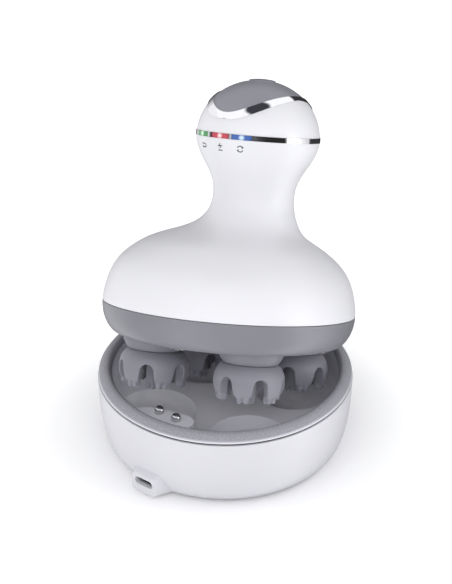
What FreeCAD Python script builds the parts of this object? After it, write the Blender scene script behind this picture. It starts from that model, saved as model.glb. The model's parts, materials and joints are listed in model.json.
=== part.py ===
"""Cordless scalp massager brush leaning in its charging dock.

Millimetres, +Z up. The origin is on the floor under the middle of the box around the whole
object, and the dock's front, where the USB socket is, faces -Y. The dock is drawn round its own
centre. The handheld is drawn upright in its own frame, with z = 0 on the top edge of the grey
skirt, and is then laid back into the dock by LEAN. Both are moved to the origin when saved.
"""
import FreeCAD, Part
import math
import os
from FreeCAD import Placement, Rotation, Vector

# ---- Handheld: how it leans in the dock -------------------------------------------------
LEAN_ANGLE = 24.76                      # tilt of the handheld's axis from vertical, degrees
LEAN_HEADING = 27.87                    # the tilt goes this far from +Y towards -X, degrees
SKIRT_CENTRE = Vector(-0.645, 3.304, 66.31)   # centre of the skirt's top edge
BOX_MIDDLE_Y = 5.877                    # the whole object's middle is this far behind the dock's

# ---- Handheld: outside sizes ------------------------------------------------------------
WALL = 2.2                              # housing wall
SKIRT_R = 54.85                         # skirt radius at its top edge
SEAM = 0.3                              # gap between skirt and housing
NECK_SET_BACK = 12.04                   # neck and ball axis behind the centre axis
BALL_R = 27.0                           # ball radius at the light ring
RING_BOTTOM = 73.2                      # light ring, lower edge
RING_TOP = 75.4                         # light ring, upper edge
CAP_R = 26.75                           # the cap above the ring is part of an ellipsoid
CAP_HALF_HEIGHT = 24.4
CAP_Z = 74.1                            # height of the cap's widest place
CAP_SKIN = 1.8                          # wall of the cap
PAD_LONG = 25.4                         # half length of the top bezel, front to back
PAD_WIDE = 19.4                         # half width of the top bezel
BEZEL_LONG = 1.0                        # bezel width in plan, at front and back
BEZEL_WIDE = 1.8                        # bezel width in plan, at the sides
BEZEL_PROUD = 0.3                       # the bezel stands this far out of the ball
BUTTON_R = 5.7
BUTTON_PROUD = 0.5
BUTTON_TRAVEL = 0.6
SWITCH_TOP = 77.4
STEM_R = 2.0

# ---- Handheld: massage heads and their drive --------------------------------------------
HEAD_COUNT = 4
HEAD_RING_R = 32.0                      # the heads' axes lie on this radius
HEAD_ANGLE = 56.0                       # first head, from the front towards +X, degrees
HEAD_TOP = -18.8
HEAD_R = 15.1
FINGER_END = -31.6
FINGERS = 6
ARCH_CROWN = -23.8                      # top of the arch between two fingers
ARCH_CROWN_R = 3.0
ARCH_FOOT = 4.1                         # half width of the arch at the nubs
PILLAR_R = 3.2                          # finger in the middle of a head
PILLAR_LONGER = 1.9                     # it reaches this far below the others
NUB_R = 1.15
NUB_LENGTH = 2.9
NUB_PAIR = 1.35                         # half the distance between two nubs side by side
COLLAR_R = 14.4                         # boot around a spindle, where it leaves the base plate
COLLAR_BOTTOM = -18.55
SPINDLE_R = 3.0
RUN = 0.05                              # running clearance, radial
SLIP = 0.02                             # clearance of a pressed part
GEAR_MODULE = 1.0
SUN_TEETH = 36
HEAD_TEETH = 28
GEAR_BOTTOM = -9.6
GEAR_THICK = 4.0
CHASSIS_BOTTOM = -3.4
CHASSIS_TOP = -1.4
POST_ANGLE = HEAD_ANGLE - 45.0          # posts and screws stand between the heads
CHASSIS_SCREW_R = 36.0
BASE_SCREW_R = 44.6

# ---- Dock --------------------------------------------------------------------------------
DOCK_R = 56.0                           # shell radius at its top edge
SHELL_TOP = 34.5
SHELL_BOTTOM = 1.0
GASKET_TOP = 35.5
RIM_TOP = 39.1
RIM_INNER_R = 51.5
TRAY_FLOOR = 20.0
RECESS_FLOOR = 12.7                     # middle of the dish under a head
TRAY_SKIN = 1.8
LEDGE_TOP = 33.0                        # ledge that carries the charging pins
PIN_X = 4.6
PIN_Y = -40.2
PIN_R = 2.0
PIN_TOP = 36.0
PIN_POCKET_R = 3.0
PIN_ROOF = 31.2                         # underside of the ledge around a pin
PIN_FLANGE_BOTTOM = 29.6
BLOCK_TOP = 20.0                        # where the pin springs stand
BOARD_BOTTOM = 4.6
BOARD_TOP = 5.8
USB_WIDTH = 9.0
USB_HEIGHT = 3.2
USB_LENGTH = 7.4
SPOUT_HALF = 6.7
SPOUT_FRONT = -56.9

FRONT_DIRECTION = -90.0                 # the front, as an angle in the XY plane
UP = Vector(0, 0, 1)


# ---- Drawing helpers ---------------------------------------------------------------------
def at(angle, radius, z=0.0):
    """A point at an angle from the front (towards +X), a radius and a height."""
    turn = math.radians(FRONT_DIRECTION + angle)
    return Vector(radius * math.cos(turn), radius * math.sin(turn), z)


def outline(items, lift):
    """Closed wire. A point is joined by a straight line, a list of points by a smooth curve."""
    edges = []
    first = None
    last = None
    for item in items:
        points = [lift(p) for p in (item if isinstance(item, list) else [item])]
        if last is not None:
            edges.append(Part.makeLine(last, points[0]))
        if len(points) > 1:
            curve = Part.BSplineCurve()
            curve.interpolate(points)
            edges.append(curve.toShape())
        first = first or points[0]
        last = points[-1]
    edges.append(Part.makeLine(last, first))
    return Part.Wire(edges)


def turned(*items, centre=Vector()):
    """Solid of revolution about a vertical axis, from an outline of (radius, height)."""
    face = Part.Face(outline(items, lambda p: Vector(p[0], 0, p[1])))
    solid = face.revolve(Vector(), UP, 360)
    solid.translate(Vector(centre.x, centre.y, 0))
    return solid


def slab(*items, z, height):
    """Solid of constant height from an outline of (x, y)."""
    return Part.Face(outline(items, lambda p: Vector(p[0], p[1], z))).extrude(Vector(0, 0, height))


def rod(radius, z0, z1, centre=Vector()):
    return Part.makeCylinder(radius, z1 - z0, Vector(centre.x, centre.y, z0))


def tube(outer, inner, z0, z1, centre=Vector()):
    return rod(outer, z0, z1, centre).cut(rod(inner, z0 - 1, z1 + 1, centre))


def block(x0, x1, y0, y1, z0, z1):
    return Part.makeBox(x1 - x0, y1 - y0, z1 - z0, Vector(x0, y0, z0))


def oval_rod(half_x, half_y, z0, z1, centre):
    """Upright rod of elliptical section."""
    if half_y >= half_x:
        curve = Part.Ellipse(Vector(0, 0, 0), half_y, half_x)
        quarter_turn = 90
    else:
        curve = Part.Ellipse(Vector(0, 0, 0), half_x, half_y)
        quarter_turn = 0
    wire = Part.Wire(curve.toShape())
    wire.Placement = Placement(Vector(centre.x, centre.y, z0), Rotation(UP, quarter_turn))
    return Part.Face(wire).extrude(Vector(0, 0, z1 - z0))


def wire_along(points, radius):
    """Round wire along a smooth curve."""
    curve = Part.BSplineCurve()
    curve.interpolate(points)
    path = Part.Wire(curve.toShape())
    start = curve.tangent(curve.FirstParameter)[0]
    ring = Part.Wire(Part.makeCircle(radius, points[0], start))
    return path.makePipeShell([ring], True, True)


def coil(radius, wire_r, z0, z1, turns, centre):
    """Compression spring."""
    height = z1 - z0 - 2 * wire_r
    helix = Part.makeHelix(height / turns, height, radius)
    start = helix.Edges[0].Vertexes[0].Point
    tangent = helix.Edges[0].tangentAt(helix.Edges[0].FirstParameter)
    ring = Part.Wire(Part.makeCircle(wire_r, start, tangent))
    spring = Part.Wire(helix.Edges).makePipeShell([ring], True, True)
    spring.translate(Vector(centre.x, centre.y, z0 + wire_r))
    return spring


def fuse(first, *others):
    return first.fuse(list(others)).removeSplitter()


def group(shapes):
    return Part.makeCompound(shapes)


# ---- Placing the handheld ---------------------------------------------------------------
heading = math.radians(LEAN_HEADING)
LEAN_AXIS = Vector(-math.cos(heading), -math.sin(heading), 0)
LEAN = Placement(SKIRT_CENTRE, Rotation(LEAN_AXIS, LEAN_ANGLE))


def laid_back(shape):
    placed = shape.copy()
    placed.Placement = LEAN.multiply(placed.Placement)
    return placed


def save(name, shape, in_handheld=False):
    placed = laid_back(shape) if in_handheld else shape.copy()
    placed.translate(Vector(0, -BOX_MIDDLE_Y, 0))
    placed.exportStep(os.path.join("parts", name + ".step"))


# ---- Gears --------------------------------------------------------------------------------
def gear(teeth, centre, tooth_angle, bore_r, backlash=0.16):
    """Spur gear with involute teeth, one of them centred on tooth_angle (degrees)."""
    pressure = math.radians(20)
    pitch_r = GEAR_MODULE * teeth / 2
    base_r = pitch_r * math.cos(pressure)
    tip_r = pitch_r + GEAR_MODULE
    root_r = pitch_r - 1.25 * GEAR_MODULE
    involute = math.tan(pressure) - pressure
    half_at_pitch = (math.pi * GEAR_MODULE / 2 - backlash) / (2 * pitch_r)
    start_r = max(base_r, root_r)

    def half_angle(radius):
        roll = math.acos(min(1.0, base_r / radius))
        return half_at_pitch + involute - (math.tan(roll) - roll)

    flank = [start_r + (tip_r - start_r) * step / 3 for step in range(4)]
    pitch_angle = 2 * math.pi / teeth
    points = []
    for tooth in range(teeth):
        middle = math.radians(tooth_angle) + tooth * pitch_angle
        points.append((root_r, middle - pitch_angle / 2))
        points.append((root_r, middle - half_angle(start_r)))
        points += [(r, middle - half_angle(r)) for r in flank]
        points += [(r, middle + half_angle(r)) for r in reversed(flank)]
        points.append((root_r, middle + half_angle(start_r)))
    corners = [Vector(r * math.cos(a), r * math.sin(a), GEAR_BOTTOM) for r, a in points]
    face = Part.Face(Part.makePolygon(corners + corners[:1]))
    body = face.extrude(Vector(0, 0, GEAR_THICK))
    body.translate(Vector(centre.x, centre.y, 0))
    return body.cut(rod(bore_r, GEAR_BOTTOM - 1, GEAR_BOTTOM + GEAR_THICK + 1, centre))


# ---- Handheld: housing ------------------------------------------------------------------
# Sections of the white housing: height, set-back of the centre, radius.
HOUSING_SECTIONS = [
    (SEAM, 0.0, 54.75), (5.3, 0.0, 54.35), (10.5, 0.0, 53.1), (15.8, 0.0, 50.9),
    (20.5, 0.0, 47.5), (24.5, 0.1, 43.0), (27.6, 0.3, 38.4), (30.0, 1.3, 33.6),
    (32.4, 4.4, 28.0), (35.0, 8.0, 23.6), (38.2, 10.4, 20.6), (42.6, 11.6, 18.5),
    (48.5, NECK_SET_BACK, 17.7), (53.6, NECK_SET_BACK, 18.4), (57.6, NECK_SET_BACK, 20.0),
    (61.5, NECK_SET_BACK, 22.3), (65.5, NECK_SET_BACK, 24.6), (69.5, NECK_SET_BACK, 26.2),
    (RING_BOTTOM, NECK_SET_BACK, BALL_R - 0.1),
]


def loft_of(sections):
    rings = [Part.Wire(Part.makeCircle(r, Vector(0, y, z), UP)) for z, y, r in sections]
    return Part.makeLoft(rings, True, False)


def inset_sections(thickness):
    """The housing's sections moved inwards at right angles to its wall."""
    inner = []
    last = len(HOUSING_SECTIONS) - 1
    for i, (z, y, r) in enumerate(HOUSING_SECTIONS):
        below = HOUSING_SECTIONS[max(i - 1, 0)]
        above = HOUSING_SECTIONS[min(i + 1, last)]
        rise = above[0] - below[0]
        run = above[2] - below[2]
        length = math.hypot(rise, run)
        drop = thickness * run / length if 0 < i < last else 0.0
        inner.append((z + drop, y, r - thickness * rise / length))
    return inner


def housing_shell():
    inner = inset_sections(WALL)
    bottom, top = inner[0], inner[-1]
    inner[0] = (bottom[0] - 1, bottom[1], bottom[2])
    inner[-1] = (top[0] + 1, top[1], top[2])
    shell = loft_of(HOUSING_SECTIONS).cut(loft_of(inner))
    spigot = tube(SKIRT_R - 2.8, SKIRT_R - 4.4, -2.8, 2.0)
    flange = tube(SKIRT_R - 1.6, SKIRT_R - 4.4, SEAM, 2.0)
    return fuse(shell, flange, spigot)


def skirt_ring():
    outside = [(SKIRT_R, 0), (SKIRT_R - 0.55, -4.6), (SKIRT_R - 2.7, -9.7), (50.2, -12.0), (47.4, -13.4)]
    inside = [(48.6, -11.1), (50.0, -9.2), (51.9, -4.6), (SKIRT_R - 2.6, 0)]
    ring = turned(outside, (47.4, -11.6), inside)
    for corner in range(HEAD_COUNT):
        foot = at(POST_ANGLE + corner * 90, BASE_SCREW_R)
        boss = rod(2.6, -11.9, -6.5, foot)
        rib = block(BASE_SCREW_R, 50.6, -1.2, 1.2, -10.4, -6.5)
        rib.rotate(Vector(), UP, FRONT_DIRECTION + POST_ANGLE + corner * 90)
        ring = fuse(ring, boss, rib)
        ring = ring.cut(rod(1.1, -12.5, -7.5, foot))
    return ring


def head_places():
    return [at(HEAD_ANGLE + n * 360 / HEAD_COUNT, HEAD_RING_R) for n in range(HEAD_COUNT)]


def base_plate():
    plate = turned([(0, -15.2), (24, -14.8), (47.2, -13.4)], (47.2, -12.0), (0, -12.0))
    plate = fuse(plate, rod(4.6, -12.5, -10.4))
    plate = plate.cut(rod(2.0 + RUN, -12.2, -10.0))
    for place in head_places():
        plate = plate.cut(rod(COLLAR_R + 0.15, -20, -10.2, place))
    for corner in range(HEAD_COUNT):
        post = at(POST_ANGLE + corner * 90, CHASSIS_SCREW_R)
        plate = fuse(plate, rod(2.6, -12.5, CHASSIS_BOTTOM - SLIP, post))
        plate = plate.cut(rod(1.1, -11.5, CHASSIS_BOTTOM + 1, post))
        hole = at(POST_ANGLE + corner * 90, BASE_SCREW_R)
        plate = plate.cut(rod(1.3, -16, -10, hole)).cut(rod(2.3, -16, -12.9, hole))
    for side in (-1, 1):
        plate = plate.cut(rod(2.25, -16, -10, Vector(side * PIN_X, PIN_Y, 0)))
    return plate


def head_collar(place):
    """Fixed boot that a spindle comes out of, with a seat for the spindle's bush."""
    flange = [(COLLAR_R + 1.2, -11.95), (COLLAR_R + 1.2, -10.9), (12.9, -10.9)]
    inside = [(12.7, -13.4), (12.0, -15.2), (10.9, -16.9)]
    bush_seat = [(8.0, -16.9), (8.0, -11.6), (6.05, -11.6), (6.05, -16.9)]
    spindle_hole = [(4.2, -16.9), (4.2, COLLAR_BOTTOM)]
    outside = [(11.8, COLLAR_BOTTOM), (12.8, -17.2), (13.8, -15.3), (COLLAR_R, -13.0)]
    boot = turned(*flange, inside, *bush_seat, *spindle_hole, outside, (COLLAR_R, -11.95), centre=place)
    return boot.common(rod(46.9, -20, -10))


def spindle_bushes():
    return group([tube(6.0, SPINDLE_R + RUN, -16.85, -11.65, place) for place in head_places()])


def gear_chassis():
    plate = rod(40.0, CHASSIS_BOTTOM, CHASSIS_TOP).cut(rod(4.6, -5, 0))
    for place in head_places():
        plate = plate.cut(rod(SPINDLE_R + RUN, -5, 0, place))
    for corner in range(HEAD_COUNT):
        plate = plate.cut(rod(1.3, -5, 0, at(POST_ANGLE + corner * 90, CHASSIS_SCREW_R)))
        plate = plate.cut(rod(6.5, -5, 0, at(HEAD_ANGLE + corner * 90, 18.5)))
    collar = tube(13.9, 12.1, CHASSIS_TOP - 0.5, 4.0)
    return fuse(plate, collar)


def screw(place, head_r, shank_r, head_top, head_bottom, tip):
    """Pan-head screw, the head at one end and the tip at the other, upright either way."""
    head = rod(head_r, min(head_top, head_bottom), max(head_top, head_bottom), place)
    shank = rod(shank_r, min(head_bottom, tip), max(head_bottom, tip), place)
    slot_depth = 0.6
    outer = head_top - slot_depth if head_top > head_bottom else head_top
    cross = block(-head_r, head_r, -0.25, 0.25, outer, outer + slot_depth)
    cross.translate(Vector(place.x, place.y, 0))
    return fuse(head, shank).cut(cross)


def chassis_screws():
    places = [at(POST_ANGLE + n * 90, CHASSIS_SCREW_R) for n in range(4)]
    return group([screw(place, 2.2, 1.0, 0.2, CHASSIS_TOP, -9.5) for place in places])


def base_screws():
    places = [at(POST_ANGLE + n * 90, BASE_SCREW_R) for n in range(4)]
    return group([screw(place, 2.1, 1.0, -14.0, -12.9, -8.0) for place in places])


def charge_pad(side):
    place = Vector(side * PIN_X, PIN_Y, 0)
    return fuse(rod(2.2, -14.6, -11.0, place), rod(2.6, -11.95, -11.0, place))


def motor():
    can = rod(12.2, 10.7, 22.9).cut(block(-13, 13, 10.6, 13, 10, 24)).cut(block(-13, 13, -13, -10.6, 10, 24))
    cap = rod(4.0, 22.8, 24.2)
    tags = [block(side * 7 - 0.3, side * 7 + 0.3, -1.2, 1.2, 22.8, 25.4) for side in (-1, 1)]
    return fuse(can, cap, *tags)


def reduction_gearbox():
    return rod(12.0, CHASSIS_TOP + SLIP, 10.65).cut(rod(4.0 + RUN, -2, 3.2))


def output_shaft():
    return fuse(rod(2.0, -11.9, -9.9), rod(4.0, -10.2, 3.0))


def drive_gear():
    first_head = FRONT_DIRECTION + HEAD_ANGLE
    return gear(SUN_TEETH, Vector(), first_head, 4.0 + SLIP)


def battery_cell():
    place = Vector(0, NECK_SET_BACK, 0)
    return fuse(rod(9.0, 33.5, 67.4, place), rod(3.2, 67.2, 68.5, place))


def battery_cradle():
    place = Vector(0, NECK_SET_BACK, 0)
    sleeve = tube(10.6, 9.1, 32.0, 60.0, place)
    floor = tube(10.6, 3.0, 31.6, 33.4, place)
    cradle = fuse(sleeve, floor).cut(block(-4, 4, NECK_SET_BACK - 12, NECK_SET_BACK, 36, 56))
    for angle in (30, 150, 210, 330):
        fin = block(10.0, 15.2, -0.8, 0.8, 44.0, 54.0)
        fin.rotate(Vector(), UP, angle)
        fin.translate(place)
        cradle = fuse(cradle, fin)
    return cradle


def control_board():
    place = Vector(0, NECK_SET_BACK, 0)
    board = rod(22.5, 70.8, 72.3, place)
    chip = block(-12, -5, NECK_SET_BACK + 6, NECK_SET_BACK + 13, 72.2, 73.4)
    lamps = []
    for angle in LENS_ANGLES.values():
        lamp = block(19.4, 21.6, -1.2, 1.2, 72.2, 75.0)
        lamp.rotate(Vector(), UP, FRONT_DIRECTION + angle)
        lamp.translate(place)
        lamps.append(lamp)
    return fuse(board, chip, *lamps)


def button_switch():
    y = NECK_SET_BACK
    return fuse(block(-3, 3, y - 3, y + 3, 72.3 + SLIP, 76.0), rod(1.7, 75.9, SWITCH_TOP, Vector(0, y, 0)))


# ---- Handheld: ball ---------------------------------------------------------------------
LENS_ANGLES = {"green": -26.0, "red": -1.0, "blue": 20.8}
LENS_HALF_ANGLE = 9.6


def ball(grow, z_from):
    """Solid upper part of the ball, its surface moved out by grow."""
    long_r = CAP_R + grow
    short_r = CAP_HALF_HEIGHT + grow
    start = math.asin((z_from - CAP_Z) / short_r)
    steps = [start + (math.pi / 2 - start) * n / 12 for n in range(13)]
    dome = [(long_r * math.cos(a), CAP_Z + short_r * math.sin(a)) for a in steps]
    dome[-1] = (0.0, CAP_Z + short_r)
    return turned(dome, (0, z_from), centre=Vector(0, NECK_SET_BACK, 0))


def pad_oval(less_long, less_wide):
    centre = Vector(0, NECK_SET_BACK, 0)
    return oval_rod(PAD_WIDE - less_wide, PAD_LONG - less_long, RING_TOP - 2, RING_TOP + 30, centre)


def top_skin(grow):
    """Upper part of the ball, CAP_SKIN thick, that the bezel and the pad are cut from."""
    return ball(grow, RING_TOP + 3.0).cut(ball(-CAP_SKIN, RING_TOP + 2.0))


def ball_cap():
    shell = ball(0, RING_TOP + 0.05).cut(ball(-CAP_SKIN - 0.2, RING_TOP))
    return shell.cut(pad_oval(-0.05, -0.05))


def trim_bezel():
    return top_skin(BEZEL_PROUD).common(pad_oval(0, 0)).cut(pad_oval(BEZEL_LONG, BEZEL_WIDE))


def touch_pad():
    pad = top_skin(0).common(pad_oval(BEZEL_LONG + 0.05, BEZEL_WIDE + 0.05))
    return pad.cut(rod(BUTTON_R + RUN, 90, 110, Vector(0, NECK_SET_BACK, 0)))


def power_button():
    place = Vector(0, NECK_SET_BACK, 0)
    disc_bottom = CAP_Z + CAP_HALF_HEIGHT - 2.6
    cap = ball(BUTTON_PROUD, disc_bottom).common(rod(BUTTON_R, disc_bottom, 110, place))
    return fuse(cap, rod(STEM_R, SWITCH_TOP + BUTTON_TRAVEL + 0.1, disc_bottom + 0.5, place))


def ring_band(outer, inner, z0, z1):
    return tube(outer, inner, z0, z1, Vector(0, NECK_SET_BACK, 0))


def lens_wedge(angle, half_angle):
    """Upright wedge from the ball's axis, spanning half_angle each side of angle."""
    reach = 40.0
    edge_1 = at(angle - half_angle, reach)
    edge_2 = at(angle + half_angle, reach)
    wedge = slab((0, 0), (edge_1.x, edge_1.y), (edge_2.x, edge_2.y), z=RING_BOTTOM - 1, height=4.5)
    wedge.translate(Vector(0, NECK_SET_BACK, 0))
    return wedge


def chrome_ring():
    ring = ring_band(BALL_R + 0.06, BALL_R - 2.0, RING_BOTTOM + 0.05, RING_TOP)
    for angle in LENS_ANGLES.values():
        ring = ring.cut(lens_wedge(angle, LENS_HALF_ANGLE))
    return ring


def light_lens(angle):
    band = ring_band(BALL_R + 0.04, BALL_R - 1.6, RING_BOTTOM + 0.1, RING_TOP - 0.05)
    return band.common(lens_wedge(angle, LENS_HALF_ANGLE - 0.1))


# ---- Handheld: one massage head and its spindle ---------------------------------------
def head_gear(place, direction):
    half_pitch = 180.0 / HEAD_TEETH
    towards_sun = direction + 180.0
    return gear(HEAD_TEETH, place, towards_sun + half_pitch, SPINDLE_R + SLIP)


def spindle(place):
    lower = rod(SPINDLE_R, -21.5, -11.5, place)
    shoulder = rod(3.9, -11.6, GEAR_BOTTOM - SLIP, place)
    upper = rod(SPINDLE_R, -10.0, -1.6, place)
    return fuse(lower, shoulder, upper)


def head_core(place):
    """Hard hub that clips on the spindle and holds the silicone head."""
    hub = turned((0, -18.9), (4.9, -18.9), (4.9, -20.7), (8.8, -20.7), (8.8, -22.2), (0, -22.2), centre=place)
    return hub.cut(rod(SPINDLE_R + SLIP, -21.6, -18, place))


def arch_opening():
    """Opening between two fingers, round at its crown and wider at its foot, drawn along +X."""
    reach = 20.0
    start = 6.0
    spring = ARCH_CROWN - ARCH_CROWN_R
    foot = FINGER_END - NUB_LENGTH
    corners = [(-ARCH_CROWN_R, spring), (ARCH_CROWN_R, spring), (ARCH_FOOT, foot), (-ARCH_FOOT, foot)]
    points = [Vector(start, y, z) for y, z in corners + corners[:1]]
    legs = Part.Face(Part.makePolygon(points)).extrude(Vector(reach - start, 0, 0))
    crown = Part.makeCylinder(ARCH_CROWN_R, reach - start, Vector(start, 0, spring), Vector(1, 0, 0))
    return fuse(crown, legs)


def nub(x, y, root):
    """Soft round-tipped nub that hangs from root."""
    tip_centre = root - NUB_LENGTH + NUB_R
    quarter = [math.pi / 2 * step / 4 for step in range(5)]
    tip = [(NUB_R * math.sin(a), tip_centre - NUB_R * math.cos(a)) for a in quarter]
    return turned(tip, (NUB_R, root + 0.4), (0, root + 0.4), centre=Vector(x, y, 0))


def silicone_head(place, direction):
    """Bell with six fingers around a longer one in the middle, each ending in four soft nubs."""
    shoulder = [(11.8, -19.0), (13.7, -21.0), (14.8, -23.6)]
    outside = shoulder + [(HEAD_R, -26.4), (14.8, -29.2), (14.0, FINGER_END)]
    inside = [(10.1, -28.5), (9.9, -25.6), (9.2, -23.7)]
    head = turned((5.0, HEAD_TOP), (11.6, HEAD_TOP), outside, (9.7, FINGER_END), inside,
                  (0, -23.7), (0, -22.25), (8.85, -22.25), (8.85, -20.65), (5.0, -20.65))
    opening = arch_opening()
    soft = []
    for n in range(FINGERS):
        turn = n * 360 / FINGERS
        cut = opening.copy()
        cut.rotate(Vector(), UP, turn + 180 / FINGERS)
        head = head.cut(cut)
        for radius in (11.0, 12.7):
            for side in (NUB_PAIR, -NUB_PAIR):
                spot = Rotation(UP, turn).multVec(Vector(radius, side, 0))
                soft.append(nub(spot.x, spot.y, FINGER_END))
    pillar_end = FINGER_END - PILLAR_LONGER
    soft.append(rod(PILLAR_R, pillar_end, -23.0))
    for x, y in ((1, 1), (-1, 1), (-1, -1), (1, -1)):
        soft.append(nub(x * NUB_PAIR, y * NUB_PAIR, pillar_end))
    head = fuse(head, *soft)
    head.rotate(Vector(), UP, direction + 180.0 / FINGERS)
    head.translate(place)
    return head


def handheld_wiring():
    y = NECK_SET_BACK
    supply = wire_along([Vector(0, y + 13, 70.6), Vector(0, y + 13, 58), Vector(0, y + 13, 44),
                         Vector(3, y + 11, 31), Vector(7, 6, 27.5), Vector(7, 1.5, 26.2)], 0.6)
    back = wire_along([Vector(-4, y + 12.4, 70.6), Vector(-4, y + 12.4, 58), Vector(-4, y + 12.4, 44),
                       Vector(-6, y + 10, 31), Vector(-7, 6, 27.5), Vector(-7, 1.5, 26.2)], 0.6)
    return group([supply, back])


# ---- Dock ---------------------------------------------------------------------------------
SHELL_OUTER = [(48.0, SHELL_BOTTOM), (51.3, 4.2), (53.9, 11.5), (55.4, 22.0), (DOCK_R, SHELL_TOP)]
SHELL_INNER = [(DOCK_R - 2.0, SHELL_TOP), (53.3, 22.0), (51.8, 12.2), (49.6, 6.6), (47.8, 4.1)]
TRAY_SCREWS = (101.0, 191.0, 281.0)
RECESS_DISH = [(18.4, 20.6), (17.2, 18.6), (15.0, 15.2), (9.0, 13.2), (0, RECESS_FLOOR)]


def spout_section(half_width, bottom, top, y):
    """Rounded rectangle across the USB spout."""
    corner = 2.6
    low_left, low_right = Vector(-half_width, y, bottom), Vector(half_width, y, bottom)
    high_left, high_right = Vector(-half_width, y, top), Vector(half_width, y, top)
    sheet = Part.Face(Part.makePolygon([low_left, low_right, high_right, high_left, low_left]))
    solid = sheet.extrude(Vector(0, 1, 0))
    rounded = solid.makeFillet(corner, [e for e in solid.Edges if e.BoundBox.YLength > 0.9])
    return [f for f in rounded.Faces if f.BoundBox.YMax < y + 0.01][0].OuterWire


def usb_spout():
    """Mouth for the plug, flaring into the bowl of the shell."""
    front = spout_section(SPOUT_HALF, 1.5, 10.9, SPOUT_FRONT)
    throat = spout_section(SPOUT_HALF + 0.7, 1.2, 12.2, -53.6)
    root = spout_section(SPOUT_HALF + 4.5, 0.2, 17.5, -46.0)
    spout = Part.makeLoft([front, throat, root], True, False)
    rim = [e for e in spout.Edges if e.BoundBox.YMax < SPOUT_FRONT + 0.1]
    spout = spout.makeFillet(0.9, rim)
    return spout.cut(block(-30, 30, -60, 0, -5, SHELL_BOTTOM))


def dock_shell():
    shell = turned((47.1, SHELL_BOTTOM), SHELL_OUTER, SHELL_INNER, (44.0, 4.1), (44.0, 2.8), (47.1, 2.8))
    room = turned((0, 2.8), (44.0, 2.8), (44.0, 4.1), list(reversed(SHELL_INNER)), (0, SHELL_TOP))
    shell = fuse(shell, usb_spout().cut(room))
    socket_room = block(-5.2, 5.2, -55.0, -44.0, 4.2, 9.8)
    mouth = slot_solid(USB_WIDTH / 2 + 0.25, USB_HEIGHT / 2 + 0.2, SPOUT_FRONT - 1, -54.0)
    return shell.cut(rod(47.1, 0, 2.8)).cut(socket_room).cut(mouth)


def slot_solid(half_width, half_height, y0, y1):
    """Rounded-end slot along Y, on the USB socket's centre."""
    middle = BOARD_TOP + USB_HEIGHT / 2 + SLIP
    core = block(-half_width + half_height, half_width - half_height, y0, y1,
                 middle - half_height, middle + half_height)
    ends = [Part.makeCylinder(half_height, y1 - y0, Vector(side * (half_width - half_height), y0, middle),
                              Vector(0, 1, 0)) for side in (-1, 1)]
    return fuse(core, *ends)


def usb_socket():
    body = slot_solid(USB_WIDTH / 2, USB_HEIGHT / 2, -54.9, -54.9 + USB_LENGTH)
    hollow = slot_solid(USB_WIDTH / 2 - 0.35, USB_HEIGHT / 2 - 0.35, -55.5, -49.0)
    middle = BOARD_TOP + USB_HEIGHT / 2 + SLIP
    tongue = block(-3.3, 3.3, -54.0, -48.8, middle - 0.35, middle + 0.35)
    return fuse(body.cut(hollow), tongue)


def ledge_outline(z, height):
    """Ledge against the tray's front wall, with a round right-hand end."""
    round_end = [(7.6, -34.7), (11.2, -36.2), (12.4, -39.6)]
    return slab((-17.0, -52.0), (-15.0, -44.0), (-8.6, -37.8), (6.6, -34.7), round_end, (12.4, -52.0),
                z=z, height=height)


def dock_tray():
    underside = [(49.0, 19.0), (51.0, 22.0), (52.4, 28.0), (53.2, GASKET_TOP - 0.05)]
    rim = [(55.75, GASKET_TOP + 0.35), (54.6, 37.6), (52.9, 38.95), (52.3, RIM_TOP)]
    wall = turned((0, TRAY_FLOOR - TRAY_SKIN), (47.0, TRAY_FLOOR - TRAY_SKIN), underside,
                  (55.7, GASKET_TOP - 0.05), rim, (0, RIM_TOP))
    basin = [(45.5, TRAY_FLOOR), (48.4, 21.4), (49.8, 25.0), (RIM_INNER_R, RIM_TOP)]
    inside = turned((0, TRAY_FLOOR), basin, (RIM_INNER_R, RIM_TOP + 1), (0, RIM_TOP + 1))
    bounds = rod(51.6, 10, TRAY_FLOOR).cut(tube(60, 51.4, 10, 18))
    cups = []
    for place in head_places():
        cups.append(turned((0, RECESS_FLOOR - TRAY_SKIN), (16.0, RECESS_FLOOR - TRAY_SKIN),
                           (19.0, 18.5), (19.0, 19.5), (0, 19.5), centre=place).common(bounds))
    tray = fuse(wall, *cups).cut(inside)
    ledge = ledge_outline(14.0, LEDGE_TOP - 14.0).common(rod(50.4, 10, LEDGE_TOP))
    for place in head_places():
        ledge = ledge.cut(rod(15.4, 10, 40, place))
    tray = fuse(tray, ledge)
    for place in head_places():
        tray = tray.cut(turned(RECESS_DISH, (0, RECESS_DISH[0][1]), centre=place).cut(ledge))
    for side in (-1, 1):
        place = Vector(side * PIN_X, PIN_Y, 0)
        tray = tray.cut(rod(PIN_R + RUN, 30, 40, place)).cut(rod(PIN_POCKET_R, 10, PIN_ROOF, place))
    for angle in TRAY_SCREWS:
        place = at(angle, 40.0)
        tray = fuse(tray, rod(3.0, 4.2, 18.6, place)).cut(rod(1.1, 3, 14, place))
    return tray


def charging_pin(side):
    place = Vector(side * PIN_X, PIN_Y, 0)
    flange_top = PIN_ROOF - 0.05
    flange = [(0, PIN_FLANGE_BOTTOM), (2.7, PIN_FLANGE_BOTTOM), (2.7, flange_top), (PIN_R, flange_top)]
    dome = [(PIN_R, PIN_TOP - 1.1), (1.5, PIN_TOP - 0.35), (0, PIN_TOP)]
    return turned(*flange, dome, centre=place)


def pin_spring(side):
    place = Vector(side * PIN_X, PIN_Y, 0)
    return coil(1.9, 0.25, BLOCK_TOP, PIN_FLANGE_BOTTOM, 6, place)


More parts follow.
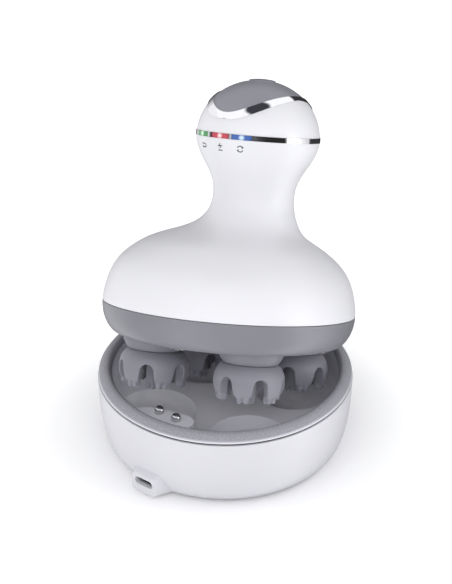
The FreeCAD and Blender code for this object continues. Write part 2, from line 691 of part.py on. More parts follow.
def pin_block():
    plate = block(-6.6, 6.6, -44.5, -39.0, 10.4, 12.4)
    posts = [rod(PIN_POCKET_R - 0.05, 12.2, BLOCK_TOP, Vector(side * PIN_X, PIN_Y, 0)) for side in (-1, 1)]
    return fuse(plate, *posts)


def rim_gasket():
    return tube(55.2, 54.1, SHELL_TOP, GASKET_TOP - 0.05)


def bottom_cover():
    cover = rod(46.9, SHELL_BOTTOM, 2.75)
    for corner in range(4):
        cover = cover.cut(rod(5.1, 0, 1.4, at(45 + corner * 90, 38.0)))
    for angle in TRAY_SCREWS:
        place = at(angle, 40.0)
        cover = cover.cut(rod(1.3, 0, 4, place)).cut(rod(2.4, 0, 1.9, place))
    for x, y in ((-11, -22), (11, -22), (-11, -39), (11, -39)):
        cover = fuse(cover, rod(1.8, 2.5, BOARD_BOTTOM - SLIP, Vector(x, y, 0)))
    return cover


def rubber_feet():
    return group([rod(5.0, 0, 1.4, at(45 + corner * 90, 38.0)) for corner in range(4)])


def dock_board():
    board = block(-13, 13, -41.5, -19, BOARD_BOTTOM, BOARD_TOP)
    tongue = block(-4.9, 4.9, -54.5, -41, BOARD_BOTTOM, BOARD_TOP)
    chip = block(3, 8, -32, -27, BOARD_TOP - 0.1, BOARD_TOP + 1.1)
    return fuse(board, tongue, chip)


def cover_screws():
    return group([screw(at(angle, 40.0), 2.2, 1.0, SHELL_BOTTOM, 1.9, 12.0) for angle in TRAY_SCREWS])


def dock_wiring():
    leads = []
    for side in (-1, 1):
        start = Vector(side * 3.0, -36.0, BOARD_TOP + 0.35)
        end = Vector(side * PIN_X, PIN_Y, 10.0)
        leads.append(wire_along([start, Vector(side * 3.2, -37.5, 8.0), end], 0.5))
    return group(leads)


# ---- Writing the parts --------------------------------------------------------------------
def main():
    os.makedirs("parts", exist_ok=True)
    fixed = {
        "housing_shell": housing_shell(), "skirt_ring": skirt_ring(), "base_plate": base_plate(),
        "ball_cap": ball_cap(), "chrome_ring": chrome_ring(), "trim_bezel": trim_bezel(),
        "touch_pad": touch_pad(), "power_button": power_button(), "control_board": control_board(),
        "button_switch": button_switch(), "battery_cell": battery_cell(), "battery_cradle": battery_cradle(),
        "gear_chassis": gear_chassis(), "motor": motor(), "reduction_gearbox": reduction_gearbox(),
        "output_shaft": output_shaft(), "drive_gear": drive_gear(), "charge_pad_left": charge_pad(-1),
        "charge_pad_right": charge_pad(1), "spindle_bushes": spindle_bushes(), "base_screws": base_screws(),
        "chassis_screws": chassis_screws(), "handheld_wiring": handheld_wiring(),
    }
    for name, angle in LENS_ANGLES.items():
        fixed["light_lens_" + name] = light_lens(angle)
    corners = ("front_right", "back_right", "back_left", "front_left")
    for n, (corner, place) in enumerate(zip(corners, head_places())):
        direction = FRONT_DIRECTION + HEAD_ANGLE + n * 360 / HEAD_COUNT
        fixed["head_collar_" + corner] = head_collar(place)
        fixed["head_gear_" + corner] = head_gear(place, direction)
        fixed["spindle_" + corner] = spindle(place)
        fixed["head_core_" + corner] = head_core(place)
        fixed["silicone_head_" + corner] = silicone_head(place, direction)
    for name, shape in fixed.items():
        save(name, shape, in_handheld=True)

    dock = {
        "dock_shell": dock_shell(), "dock_tray": dock_tray(), "rim_gasket": rim_gasket(),
        "bottom_cover": bottom_cover(), "rubber_feet": rubber_feet(), "dock_board": dock_board(),
        "usb_socket": usb_socket(), "pin_block": pin_block(), "cover_screws": cover_screws(),
        "dock_wiring": dock_wiring(), "charging_pin_left": charging_pin(-1),
        "charging_pin_right": charging_pin(1), "pin_spring_left": pin_spring(-1),
        "pin_spring_right": pin_spring(1),
    }
    for name, shape in dock.items():
        save(name, shape)


main()
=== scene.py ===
"""Looks of the scalp massager brush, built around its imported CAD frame. Metres, +Z up."""

import json
import math

import bmesh
import bpy
import numpy as np
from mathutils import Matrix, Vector
from mathutils.bvhtree import BVHTree


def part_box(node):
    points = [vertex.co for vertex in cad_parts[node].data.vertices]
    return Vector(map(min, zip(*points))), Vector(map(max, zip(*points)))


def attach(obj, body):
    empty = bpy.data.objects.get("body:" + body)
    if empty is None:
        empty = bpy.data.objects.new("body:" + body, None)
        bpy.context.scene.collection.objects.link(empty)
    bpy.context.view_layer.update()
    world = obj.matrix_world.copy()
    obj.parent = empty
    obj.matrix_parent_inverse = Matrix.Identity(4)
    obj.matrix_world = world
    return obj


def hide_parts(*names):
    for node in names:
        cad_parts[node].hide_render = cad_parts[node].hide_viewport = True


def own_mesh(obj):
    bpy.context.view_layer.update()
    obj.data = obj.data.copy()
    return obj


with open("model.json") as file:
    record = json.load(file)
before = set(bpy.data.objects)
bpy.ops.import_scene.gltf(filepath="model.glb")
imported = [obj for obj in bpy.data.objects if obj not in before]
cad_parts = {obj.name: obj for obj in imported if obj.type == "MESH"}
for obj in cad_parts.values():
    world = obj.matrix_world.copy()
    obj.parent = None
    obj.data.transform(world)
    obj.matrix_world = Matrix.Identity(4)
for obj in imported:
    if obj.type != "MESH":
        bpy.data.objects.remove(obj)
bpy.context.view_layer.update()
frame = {"nodes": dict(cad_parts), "record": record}

MM = 0.001
CORNERS = ("front_right", "back_right", "back_left", "front_left")
nodes = frame["nodes"]


def joint_named(name):
    joints = frame["record"]["behaviour"]["joints"]
    return next(joint for joint in joints if joint["name"] == name)


# ---- Node material helpers ----------------------------------------------------------------
def new_material(name):
    material = bpy.data.materials.new(name)
    material.use_nodes = True
    tree = material.node_tree
    return material, tree, tree.nodes["Principled BSDF"]


def add(tree, kind, **values):
    """New node. Values that name a node property set it, the others set an input's default."""
    node = tree.nodes.new(kind)
    for key, value in values.items():
        if hasattr(node, key):
            setattr(node, key, value)
        else:
            node.inputs[key].default_value = value
    return node


def object_place(tree):
    """Output that carries the place in the model, in metres."""
    return add(tree, "ShaderNodeTexCoord").outputs["Object"]


def fill_ramp(ramp, interpolation, table):
    """Sets a colour ramp from a sorted list of (place, colour)."""
    ramp.interpolation = interpolation
    stops = ramp.elements
    while len(stops) > 1:
        stops.remove(stops[-1])
    stops[0].position = table[0][0]
    stops[0].color = table[0][1]
    for place, colour in table[1:]:
        stops.new(place).color = colour


def noise(tree, scale, detail=3.0, roughness=0.5):
    texture = add(tree, "ShaderNodeTexNoise", Scale=scale, Detail=detail, Roughness=roughness)
    tree.links.new(object_place(tree), texture.inputs["Vector"])
    return texture.outputs["Fac"]


def remap(tree, value, low, high, from_low=0.0, from_high=1.0):
    node = add(tree, "ShaderNodeMapRange")
    node.inputs["From Min"].default_value = from_low
    node.inputs["From Max"].default_value = from_high
    node.inputs["To Min"].default_value = low
    node.inputs["To Max"].default_value = high
    tree.links.new(value, node.inputs["Value"])
    return node.outputs["Result"]


def product(tree, first, second):
    node = add(tree, "ShaderNodeMath", operation="MULTIPLY")
    tree.links.new(first, node.inputs[0])
    tree.links.new(second, node.inputs[1])
    return node.outputs["Value"]


def blend_colours(tree, factor, first, second):
    """Colour between first and second. Each is a plain colour or a node's output."""
    node = add(tree, "ShaderNodeMix", data_type="RGBA")
    tree.links.new(factor, node.inputs[0])
    for socket, colour in ((node.inputs[6], first), (node.inputs[7], second)):
        if isinstance(colour, tuple):
            socket.default_value = colour
        else:
            tree.links.new(colour, socket)
    return node.outputs[2]


def shade(colour, factor):
    return tuple(min(1.0, c * factor) for c in colour[:3]) + (1.0,)


def bump_from(tree, shader, height, strength, distance):
    node = add(tree, "ShaderNodeBump", Strength=strength, Distance=distance)
    tree.links.new(height, node.inputs["Height"])
    tree.links.new(node.outputs["Normal"], shader.inputs["Normal"])


def moulded(name, colour, roughness, tone=0.02):
    """Injection-moulded plastic: slow tone drift, fine surface grain and uneven gloss."""
    material, tree, shader = new_material(name)
    drift = noise(tree, 60.0, 4.0, 0.6)
    base = blend_colours(tree, drift, shade(colour, 1 - tone), shade(colour, 1 + tone))
    tree.links.new(base, shader.inputs["Base Color"])
    gloss = remap(tree, noise(tree, 420.0), roughness - 0.02, roughness + 0.02, 0.3, 0.7)
    tree.links.new(gloss, shader.inputs["Roughness"])
    bump_from(tree, shader, noise(tree, 4000.0, 2.0), 0.35, 0.01 * MM)
    return material


def grained(name, colour, roughness, grain, depth, speckle):
    """Spark-textured plastic: a pebbled grain that also speckles the colour."""
    material, tree, shader = new_material(name)
    pebbles = add(tree, "ShaderNodeTexVoronoi", Scale=grain)
    tree.links.new(object_place(tree), pebbles.inputs["Vector"])
    fine = noise(tree, grain * 0.55, 3.0, 0.6)
    contrast = remap(tree, fine, 0, 1, 0.35, 0.65)
    base = blend_colours(tree, contrast, shade(colour, 1 - speckle), shade(colour, 1 + speckle))
    tree.links.new(base, shader.inputs["Base Color"])
    gloss = remap(tree, fine, roughness - 0.08, roughness + 0.08)
    tree.links.new(gloss, shader.inputs["Roughness"])
    bump_from(tree, shader, product(tree, pebbles.outputs["Distance"], fine), 0.6, depth)
    return material


def tray_plastic():
    """The tray's grey plastic: grained and darker on the rim, smooth in the basin, whose paler colour is
    painted light standing in for the light the handheld keeps out of it.
    """
    material, tree, shader = new_material("grey_tray")
    split = add(tree, "ShaderNodeSeparateXYZ")
    tree.links.new(object_place(tree), split.inputs[0])
    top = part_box("dock_tray")[1].z
    on_rim = remap(tree, split.outputs["Z"], 0.0, 1.0, top - 3.4 * MM, top - 2.4 * MM)
    pebbles = noise(tree, 1500.0, 4.0, 0.7)
    contrast = remap(tree, pebbles, 0, 1, 0.35, 0.65)
    rim = blend_colours(tree, contrast, (0.24, 0.24, 0.27, 1), (0.33, 0.33, 0.36, 1))
    # Painted light: the basin is coloured paler to stand in for light that the handheld shades out of the
    # tray.
    cloudy = noise(tree, 70.0, 4.0)
    basin_painted_light = blend_colours(tree, cloudy, (0.70, 0.70, 0.75, 1), (0.77, 0.77, 0.82, 1))
    tree.links.new(blend_colours(tree, on_rim, basin_painted_light, rim), shader.inputs["Base Color"])
    tree.links.new(remap(tree, on_rim, 0.38, 0.5), shader.inputs["Roughness"])
    grain = product(tree, pebbles, remap(tree, on_rim, 0.15, 1.0))
    bump_from(tree, shader, grain, 0.7, 0.12 * MM)
    return material


def metal(name, colour, roughness):
    """Plated or turned metal with faint polishing marks."""
    material, tree, shader = new_material(name)
    shader.inputs["Metallic"].default_value = 1.0
    marks = noise(tree, 900.0, 5.0, 0.7)
    base = blend_colours(tree, marks, shade(colour, 0.96), shade(colour, 1.04))
    tree.links.new(base, shader.inputs["Base Color"])
    tree.links.new(remap(tree, marks, roughness * 0.7, roughness * 1.3), shader.inputs["Roughness"])
    bump_from(tree, shader, marks, 0.05, 0.005 * MM)
    return material


def soft_silicone(name, colour):
    """Matt silicone rubber: a little light passes under its surface, and dust dulls it in spots."""
    material, tree, shader = new_material(name)
    cloudy = noise(tree, 90.0, 4.0, 0.6)
    base = blend_colours(tree, cloudy, shade(colour, 0.96), shade(colour, 1.05))
    tree.links.new(base, shader.inputs["Base Color"])
    tree.links.new(remap(tree, noise(tree, 700.0), 0.42, 0.6, 0.3, 0.7), shader.inputs["Roughness"])
    shader.inputs["Subsurface Weight"].default_value = 0.12
    shader.inputs["Subsurface Radius"].default_value = (1.2 * MM, 1.2 * MM, 1.3 * MM)
    shader.inputs["Subsurface Scale"].default_value = 1.0
    shader.inputs["Sheen Weight"].default_value = 0.12
    bump_from(tree, shader, noise(tree, 2600.0, 3.0), 0.3, 0.01 * MM)
    return material


def lit_window(name, colour, glow, node_name):
    """Tinted light window with a lamp behind its middle."""
    material, tree, shader = new_material(name)
    low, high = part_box(node_name)
    reach = (high - low).length / 2
    offset = add(tree, "ShaderNodeVectorMath", operation="DISTANCE")
    offset.inputs[1].default_value = (low + high) / 2
    tree.links.new(object_place(tree), offset.inputs[0])
    ramp = add(tree, "ShaderNodeValToRGB")
    from_lamp = remap(tree, offset.outputs["Value"], 0.0, 1.0, 0.0, reach)
    tree.links.new(from_lamp, ramp.inputs["Fac"])
    fade = [(0.0, glow), (0.10, glow), (0.34, colour), (0.7, colour), (1.0, shade(colour, 0.3))]
    fill_ramp(ramp.color_ramp, "LINEAR", fade)
    tree.links.new(ramp.outputs["Color"], shader.inputs["Base Color"])
    tree.links.new(ramp.outputs["Color"], shader.inputs["Emission Color"])
    ripple = noise(tree, 1500.0, 2.0)
    tree.links.new(remap(tree, ripple, 0.35, 0.6), shader.inputs["Emission Strength"])
    shader.inputs["Roughness"].default_value = 0.2
    shader.inputs["Coat Weight"].default_value = 0.5
    bump_from(tree, shader, ripple, 0.05, 0.005 * MM)
    return material


def circuit(name):
    """Green solder mask over copper tracks."""
    material, tree, shader = new_material(name)
    tracks = add(tree, "ShaderNodeTexBrick", Scale=420.0)
    tracks.inputs["Color1"].default_value = (0.01, 0.10, 0.04, 1)
    tracks.inputs["Color2"].default_value = (0.015, 0.13, 0.05, 1)
    tracks.inputs["Mortar"].default_value = (0.04, 0.25, 0.10, 1)
    tracks.inputs["Mortar Size"].default_value = 0.04
    tree.links.new(object_place(tree), tracks.inputs["Vector"])
    tree.links.new(tracks.outputs["Color"], shader.inputs["Base Color"])
    shader.inputs["Roughness"].default_value = 0.3
    bump_from(tree, shader, tracks.outputs["Fac"], 0.3, 0.03 * MM)
    return material


# ---- Materials by the record's slots -----------------------------------------------------
MATERIALS = {
    "white_housing": moulded("white_housing", (0.735, 0.735, 0.765, 1), 0.36, tone=0.012),
    "white_dock": moulded("white_dock", (0.64, 0.64, 0.675, 1), 0.42, tone=0.012),
    "grey_skirt": moulded("grey_skirt", (0.215, 0.215, 0.24, 1), 0.32, tone=0.03),
    "grey_trim": moulded("grey_trim", (0.20, 0.20, 0.23, 1), 0.48, tone=0.03),
    "grey_pad": moulded("grey_pad", (0.25, 0.25, 0.285, 1), 0.40, tone=0.03),
    "button_grey": moulded("button_grey", (0.24, 0.24, 0.275, 1), 0.36, tone=0.03),
    "chrome_trim": metal("chrome_trim", (0.90, 0.90, 0.92, 1), 0.07),
    "lens_green": lit_window("lens_green", (0.02, 0.18, 0.04, 1), (0.75, 1.0, 0.75, 1), "light_lens_green"),
    "lens_red": lit_window("lens_red", (0.38, 0.06, 0.08, 1), (1.0, 0.90, 0.90, 1), "light_lens_red"),
    "lens_blue": lit_window("lens_blue", (0.03, 0.08, 0.27, 1), (0.75, 0.90, 1.0, 1), "light_lens_blue"),
    "silicone": soft_silicone("silicone", (0.215, 0.215, 0.25, 1)),
    "hub_plastic": moulded("hub_plastic", (0.12, 0.12, 0.14, 1), 0.5),
    "spindle_steel": metal("spindle_steel", (0.70, 0.70, 0.72, 1), 0.25),
    "acetal_gear": moulded("acetal_gear", (0.80, 0.78, 0.72, 1), 0.45),
    "bush_bronze": metal("bush_bronze", (0.55, 0.38, 0.20, 1), 0.35),
    "chassis_plastic": moulded("chassis_plastic", (0.06, 0.06, 0.065, 1), 0.5),
    "motor_can": metal("motor_can", (0.62, 0.62, 0.64, 1), 0.3),
    "battery_wrap": moulded("battery_wrap", (0.03, 0.12, 0.32, 1), 0.3),
    "circuit_board": circuit("circuit_board"),
    "switch_black": moulded("switch_black", (0.02, 0.02, 0.02, 1), 0.45),
    "contact_plate": metal("contact_plate", (0.55, 0.55, 0.57, 1), 0.22),
    "screw_steel": metal("screw_steel", (0.55, 0.55, 0.57, 1), 0.3),
    "wire_red": moulded("wire_red", (0.45, 0.02, 0.02, 1), 0.4),
    "grey_tray": tray_plastic(),
    "gasket_black": moulded("gasket_black", (0.03, 0.03, 0.035, 1), 0.6),
    "cover_grey": grained("cover_grey", (0.32, 0.32, 0.35, 1), 0.55, 1400.0, 0.08 * MM, 0.05),
    "foot_rubber": moulded("foot_rubber", (0.05, 0.05, 0.055, 1), 0.7),
    "usb_steel": metal("usb_steel", (0.70, 0.70, 0.72, 1), 0.25),
}


def dress(mesh, slot, smooth=True):
    """Gives a mesh its slot's material and its shading."""
    mesh.materials.clear()
    mesh.materials.append(MATERIALS[slot])
    for polygon in mesh.polygons:
        polygon.use_smooth = smooth


def crisp_edges(piece, angle):
    split = piece.modifiers.new("crisp_edges", "EDGE_SPLIT")
    split.split_angle = math.radians(angle)


def new_object(name, data):
    item = bpy.data.objects.new(name, data)
    bpy.context.scene.collection.objects.link(item)
    return item


def finish_node(name, slot):
    dress(nodes[name].data, slot)
    crisp_edges(nodes[name], 35)


for entry in frame["record"]["subparts"]:
    finish_node(entry["node"], entry["material_slot"])


# ---- Massage heads ------------------------------------------------------------------------
HEAD_VOXEL = 0.30 * MM
HEAD_SMOOTHING = 8                # rounds of smoothing that melt the edges


def bake_modifiers(piece):
    graph = bpy.context.evaluated_depsgraph_get()
    mesh = bpy.data.meshes.new_from_object(piece.evaluated_get(graph))
    piece.modifiers.clear()
    piece.data = mesh


def moulded_head(corner):
    """Soft version of a CAD head: remeshed, its edges melted round."""
    node_name = "silicone_head_" + corner
    piece = new_object("moulded_head_" + corner, nodes[node_name].data.copy())
    weld = piece.modifiers.new("weld", "WELD")
    weld.merge_threshold = 0.001 * MM
    remesh = piece.modifiers.new("remesh", "REMESH")
    remesh.mode = "VOXEL"
    remesh.voxel_size = HEAD_VOXEL
    smooth = piece.modifiers.new("smooth", "SMOOTH")
    smooth.factor = 0.5
    smooth.iterations = HEAD_SMOOTHING
    bake_modifiers(piece)
    dress(piece.data, "silicone")
    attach(piece, "massage_head_" + corner)
    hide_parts(node_name)


for corner in CORNERS:
    moulded_head(corner)


# ---- Charging-pin springs ------------------------------------------------------------------
def pin_spring(side):
    """Coil with a mesh of its own, riding on the dock, standing in for the stiff CAD coil."""
    node_name = "pin_spring_" + side
    coil = new_object("coil_" + side, nodes[node_name].data.copy())
    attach(coil, "dock")
    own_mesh(coil)
    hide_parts(node_name)


for side in ("left", "right"):
    pin_spring(side)


# ---- The handheld's own directions ---------------------------------------------------------
def handheld_turn():
    """Rotation from upright to the leaning handheld."""
    leaning = Vector(joint_named("drive_spin")["axis"]).normalized()
    return Vector((0, 0, 1)).rotation_difference(leaning)


TURN = handheld_turn()


def upright_box(node_name):
    """Lowest and highest corner of a node in the handheld's own upright directions."""
    back = np.array(TURN.inverted().to_matrix())
    places = np.array([vertex.co for vertex in nodes[node_name].data.vertices])
    upright = places @ back.T
    return Vector(upright.min(0)), Vector(upright.max(0))


ring_low, ring_high = upright_box("chrome_ring")
BALL_R = (ring_high.x - ring_low.x) / 2
BALL_X = (ring_high.x + ring_low.x) / 2
BALL_Y = ring_high.y - BALL_R
RING_Z = (ring_high.z + ring_low.z) / 2


def in_place(x, y, z):
    """Model place of a point given from the ball's axis at ring height, in the upright directions."""
    return TURN @ Vector((BALL_X + x, BALL_Y + y, RING_Z + z))


def handheld_piece(name, points, faces, slot, smooth=True):
    """Closed mesh that rides on the handheld."""
    mesh = bpy.data.meshes.new(name)
    mesh.from_pydata([tuple(point) for point in points], [], faces)
    work = bmesh.new()
    work.from_mesh(mesh)
    bmesh.ops.recalc_face_normals(work, faces=work.faces)
    work.to_mesh(mesh)
    work.free()
    dress(mesh, slot, smooth)
    piece = new_object(name, mesh)
    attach(piece, "handheld")
    return piece


# ---- Chrome bezel around the touch pad -----------------------------------------------------
CAP_R = 26.75 * MM                # the ball above its ring is part of an ellipsoid
CAP_HALF_HEIGHT = 24.4 * MM
CAP_Z = -0.2 * MM                 # its middle, from the ring's middle
BEZEL_LIP = 0.8 * MM              # the bezel laps this far over the ball midway between its ends
BEZEL_STEPS = 360
BEZEL_PROUD = 0.42 * MM
BEZEL_CROWN = 0.04 * MM           # how much the bezel's middle stands above its edges
BEZEL_DEPTH = 0.9 * MM            # how far its walls reach into the ball
CROWN_STEPS = 8


def bezel_section():
    """(share of the way from outer to inner edge, height above the ball) around the section."""
    shares = [n / CROWN_STEPS for n in range(CROWN_STEPS + 1)]
    crown = [(share, BEZEL_PROUD + BEZEL_CROWN * math.sin(math.pi * share)) for share in shares]
    return crown + [(1.0, -BEZEL_DEPTH), (0.0, -BEZEL_DEPTH)]


def on_ball(x, y, rise):
    """Place above or below the ball's upper skin, in the upright directions from the ring."""
    level = 1 - (x * x + y * y) / CAP_R ** 2
    height = CAP_HALF_HEIGHT * math.sqrt(max(level, 0.0))
    outward = Vector((x / CAP_R ** 2, y / CAP_R ** 2, height / CAP_HALF_HEIGHT ** 2))
    return Vector((x, y, CAP_Z + height)) + outward.normalized() * rise


def bezel_ring():
    low, high = upright_box("trim_bezel")
    pad_low, pad_high = upright_box("touch_pad")
    outer = ((high.x - low.x) / 2, (high.y - low.y) / 2)
    inner = ((pad_high.x - pad_low.x) / 2, (pad_high.y - pad_low.y) / 2)
    section = bezel_section()
    points = []
    for step in range(BEZEL_STEPS):
        angle = 2 * math.pi * step / BEZEL_STEPS
        for share, rise in section:
            half_x = outer[0] + (inner[0] - outer[0]) * share
            half_y = outer[1] + (inner[1] - outer[1]) * share
            lip = BEZEL_LIP * abs(math.sin(2 * angle)) * (1 - share)
            x = (half_x + lip) * math.sin(angle)
            y = -(half_y + lip) * math.cos(angle)
            points.append(in_place(*on_ball(x, y, rise)))
    count = len(section)
    faces = []
    for step in range(BEZEL_STEPS):
        here = step * count
        there = (step + 1) % BEZEL_STEPS * count
        for n in range(count):
            after = (n + 1) % count
            faces.append((here + n, here + after, there + after, there + n))
    piece = handheld_piece("chrome_bezel", points, faces, "chrome_trim")
    crisp_edges(piece, 50)
    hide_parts("trim_bezel")


bezel_ring()


# ---- Printed symbols under the light windows ---------------------------------------------
SYMBOL_DROP = 4.9                # middle of the symbols below the ring's middle, mm
STROKE = 0.42                    # width of a printed line, mm
PRINT_STEP = 0.12                # spacing of the points along a printed line, mm
PRINT_PROUD = 0.03 * MM          # how far the print stands out of the housing, and sinks into it


def arc_points(radius, start, end, steps):
    angles = [math.radians(start + (end - start) * n / steps) for n in range(steps + 1)]
    return [(radius * math.cos(a), radius * math.sin(a)) for a in angles]


def return_arrow():
    """A hook that turns back to the left."""
    hook = [(0.85 + x, y) for x, y in arc_points(0.75, 90, -90, 10)]
    return [[(-1.5, 0.75)] + hook + [(-1.5, -0.75)], [(-0.8, -0.25), (-1.5, -0.75), (-0.8, -1.25)]]


def plus_minus():
    return [[(0, 1.7), (0, -0.5)], [(-1.2, 0.6), (1.2, 0.6)], [(-1.2, -1.3), (1.2, -1.3)]]


def turning_arrows():
    """Two arcs that chase each other round a circle."""
    strokes = []
    for start in (160, -20):
        arc = arc_points(1.25, start, start - 140, 14)
        tip_x, tip_y = arc[-1]
        side = 1 if start > 0 else -1
        strokes.append(arc)
        strokes.append([(tip_x - 0.5 * side, tip_y + 0.15 * side), (tip_x, tip_y)])
        strokes.append([(tip_x, tip_y), (tip_x + 0.15 * side, tip_y + 0.55 * side)])
    return strokes


def resampled(stroke):
    """Points every PRINT_STEP along a broken line."""
    points = []
    for (x0, y0), (x1, y1) in zip(stroke, stroke[1:]):
        pieces = max(1, round(math.hypot(x1 - x0, y1 - y0) / PRINT_STEP))
        points += [(x0 + (x1 - x0) * n / pieces, y0 + (y1 - y0) * n / pieces) for n in range(pieces)]
    return points + [stroke[-1]]


def print_symbol(name, strokes, angle, surface):
    """Thin raised print on the housing, angle degrees round the ball from the front."""
    points = []
    faces = []

    def put(u, v, proud):
        turn = math.radians(angle) + u * MM / BALL_R
        height = (v - SYMBOL_DROP) * MM
        outward = TURN @ Vector((math.sin(turn), -math.cos(turn), 0))
        outside = in_place(0, 0, height) + outward * BALL_R * 1.5
        hit = surface.ray_cast(outside, -outward)[0]
        points.append(hit + outward * proud)

    for stroke in strokes:
        line = resampled(stroke)
        first = len(points)
        for n, (u, v) in enumerate(line):
            before = line[max(n - 1, 0)]
            after = line[min(n + 1, len(line) - 1)]
            run = math.hypot(after[0] - before[0], after[1] - before[1])
            side_u = -(after[1] - before[1]) / run * STROKE / 2
            side_v = (after[0] - before[0]) / run * STROKE / 2
            put(u + side_u, v + side_v, PRINT_PROUD)
            put(u - side_u, v - side_v, PRINT_PROUD)
            put(u - side_u, v - side_v, -PRINT_PROUD)
            put(u + side_u, v + side_v, -PRINT_PROUD)
        for n in range(len(line) - 1):
            here = first + 4 * n
            for k in range(4):
                after = (k + 1) % 4
                faces.append((here + k, here + after, here + 4 + after, here + 4 + k))
        last = first + 4 * (len(line) - 1)
        faces.append((first, first + 1, first + 2, first + 3))
        faces.append((last + 3, last + 2, last + 1, last))
    handheld_piece(name, points, faces, "switch_black", smooth=False)


housing = BVHTree.FromObject(nodes["housing_shell"], bpy.context.evaluated_depsgraph_get())
print_symbol("symbol_return", return_arrow(), -24.0, housing)
print_symbol("symbol_plus_minus", plus_minus(), -1.0, housing)
print_symbol("symbol_direction", turning_arrows(), 20.0, housing)


# ---- Stage, light and camera -------------------------------------------------------------
VIEW_AZIMUTH = 38.0               # degrees from the dock's front towards its right
VIEW_ELEVATION = 31.6
VIEW_DISTANCE = 0.900
VIEW_TARGET = Vector((0.0002, -0.00568, 0.0758))
LENS_MM = 129.1

FLOOR_HALF = 4.0
GLOW_START = 55.0 * MM            # the floor's own glow, painted light, grows between these distances from the middle, so the floor is painted darker around the dock's foot as painted shade beside the contact shadow, and the background stays white
GLOW_FULL = 125.0 * MM            # so that the contact shadow shows and the background stays white

# Bright and dark cards that chrome mirrors: (degrees right of the camera, grey)
CARDS = (
    (-172, 0.02), (-160, 0.12), (-150, 0.32), (-141, 0.48), (-106, 0.48), (-98, 0.02),
    (-62, 0.02), (-52, 0.44), (-24, 0.40), (-14, 0.012), (50, 0.012), (60, 0.95),
    (76, 0.95), (86, 0.48), (98, 0.40), (110, 0.02), (179, 0.02),
)
CARDS_END = (0.37, 0.43)          # sine of the height over which the cards give way to an even ceiling
OVERHEAD = (0.925, 0.955)         # and over which the ceiling gives way to a dark patch overhead
CEILING_GREY = (0.54, 0.54, 0.55, 1)
OVERHEAD_GREY = (0.025, 0.025, 0.03, 1)
SOFT_STRENGTH = 0.46
MIRRORED_STRENGTH = 2.0


def viewed_from(azimuth, elevation, distance):
    """A point seen from the object at degrees right of the camera, and at an elevation."""
    turn = math.radians(VIEW_AZIMUTH + azimuth)
    rise = math.radians(elevation)
    flat = distance * math.cos(rise)
    offset = Vector((flat * math.sin(turn), -flat * math.cos(turn), distance * math.sin(rise)))
    return VIEW_TARGET + offset


def aim(item, location):
    """Puts a lamp or camera at a place and turns it to the object."""
    item.location = location
    item.rotation_euler = (VIEW_TARGET - location).to_track_quat("-Z", "Y").to_euler()


def build_floor():
    mesh = bpy.data.meshes.new("floor")
    work = bmesh.new()
    bmesh.ops.create_grid(work, x_segments=2, y_segments=2, size=FLOOR_HALF)
    work.to_mesh(mesh)
    work.free()
    floor = new_object("floor", mesh)
    material, tree, shader = new_material("pale_floor")
    tone = blend_colours(tree, noise(tree, 3.0), (0.90, 0.90, 0.91, 1), (0.93, 0.93, 0.94, 1))
    tree.links.new(tone, shader.inputs["Base Color"])
    shader.inputs["Roughness"].default_value = 0.7
    # Painted light that grows with distance from the middle: weak by the dock, as painted shade around its
    # foot, full further out.
    away = add(tree, "ShaderNodeVectorMath", operation="LENGTH")
    tree.links.new(object_place(tree), away.inputs[0])
    glow = remap(tree, away.outputs["Value"], 0.06, 0.55, GLOW_START, GLOW_FULL)
    shader.inputs["Emission Color"].default_value = (1, 1, 1, 1)
    tree.links.new(glow, shader.inputs["Emission Strength"])
    floor.data.materials.append(material)
    floor.visible_glossy = False        # the chrome mirrors the world's cards instead


def card_table():
    """The cards as colour ramp stops, sorted by place round the horizon."""
    places = [(((angle + VIEW_AZIMUTH + 90.0) % 360.0) / 360.0, grey) for angle, grey in CARDS]
    return [(place, (grey, grey, grey * 1.02, 1)) for place, grey in sorted(places)]


def mirrored_studio(tree):
    """Colour of the cards, ceiling and overhead patch by the direction that is looked in."""
    source = add(tree, "ShaderNodeTexCoord")
    split = add(tree, "ShaderNodeSeparateXYZ")
    tree.links.new(source.outputs["Generated"], split.inputs[0])
    turn = add(tree, "ShaderNodeMath", operation="ARCTAN2")
    tree.links.new(split.outputs["Y"], turn.inputs[0])
    tree.links.new(split.outputs["X"], turn.inputs[1])
    cards = add(tree, "ShaderNodeValToRGB")
    round_horizon = remap(tree, turn.outputs["Value"], 0.0, 1.0, -math.pi, math.pi)
    tree.links.new(round_horizon, cards.inputs["Fac"])
    fill_ramp(cards.color_ramp, "EASE", card_table())
    above_cards = remap(tree, split.outputs["Z"], 0.0, 1.0, *CARDS_END)
    ceiling = blend_colours(tree, above_cards, cards.outputs["Color"], CEILING_GREY)
    overhead = remap(tree, split.outputs["Z"], 0.0, 1.0, *OVERHEAD)
    return blend_colours(tree, overhead, ceiling, OVERHEAD_GREY)


def background(tree, colour, strength):
    node = add(tree, "ShaderNodeBackground", Strength=strength)
    if isinstance(colour, tuple):
        node.inputs["Color"].default_value = colour
    else:
        tree.links.new(colour, node.inputs["Color"])
    return node.outputs[0]


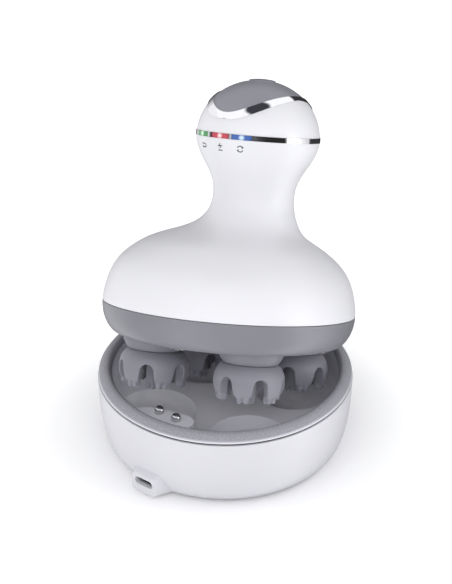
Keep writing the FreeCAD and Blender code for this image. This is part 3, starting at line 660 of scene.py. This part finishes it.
def mix_shaders(tree, factor, first, second):
    node = add(tree, "ShaderNodeMixShader")
    for socket, source in zip(node.inputs, (factor, first, second)):
        tree.links.new(source, socket)
    return node.outputs[0]


def build_world():
    """White for the camera, even grey for soft light, and cards for reflections."""
    world = bpy.data.worlds.new("studio")
    bpy.context.scene.world = world
    world.use_nodes = True
    tree = world.node_tree
    tree.nodes.clear()
    path = add(tree, "ShaderNodeLightPath")
    soft = background(tree, (0.98, 0.985, 1.0, 1), SOFT_STRENGTH)
    mirrored = background(tree, mirrored_studio(tree), MIRRORED_STRENGTH)
    seen = background(tree, (1.0, 1.0, 1.0, 1), 1.0)
    unseen = mix_shaders(tree, path.outputs["Is Glossy Ray"], soft, mirrored)
    whole = mix_shaders(tree, path.outputs["Is Camera Ray"], unseen, seen)
    output = add(tree, "ShaderNodeOutputWorld")
    tree.links.new(whole, output.inputs["Surface"])


def softbox(name, azimuth, elevation, distance, size, power, mirrored=False):
    """Square lamp that faces the object. Only a mirrored one shows in reflections."""
    light = bpy.data.lights.new(name, "AREA")
    light.shape = "SQUARE"
    light.size = size
    light.energy = power
    lamp = new_object(name, light)
    aim(lamp, viewed_from(azimuth, elevation, distance))
    lamp.visible_glossy = mirrored


def build_lights():
    softbox("key", -25.0, 42.0, 1.6, 1.1, 4.8)
    softbox("front", 4.0, 26.0, 1.5, 0.9, 4.6)
    softbox("top", 20.0, 78.0, 1.5, 1.4, 2.5)
    softbox("left_fill", -80.0, 16.0, 1.5, 1.0, 4.8)
    softbox("right_fill", 88.0, 42.0, 1.5, 1.0, 4.0)
    softbox("right_strip", 66.0, 13.0, 1.5, 0.5, 2.6, mirrored=True)


def build_camera():
    data = bpy.data.cameras.new("camera")
    data.lens = LENS_MM
    data.sensor_width = 36.0
    data.clip_end = 20.0
    camera = new_object("camera", data)
    aim(camera, viewed_from(0.0, VIEW_ELEVATION, VIEW_DISTANCE))
    bpy.context.scene.camera = camera


build_floor()
build_world()
build_lights()
build_camera()
bpy.context.scene.view_settings.view_transform = "Standard"
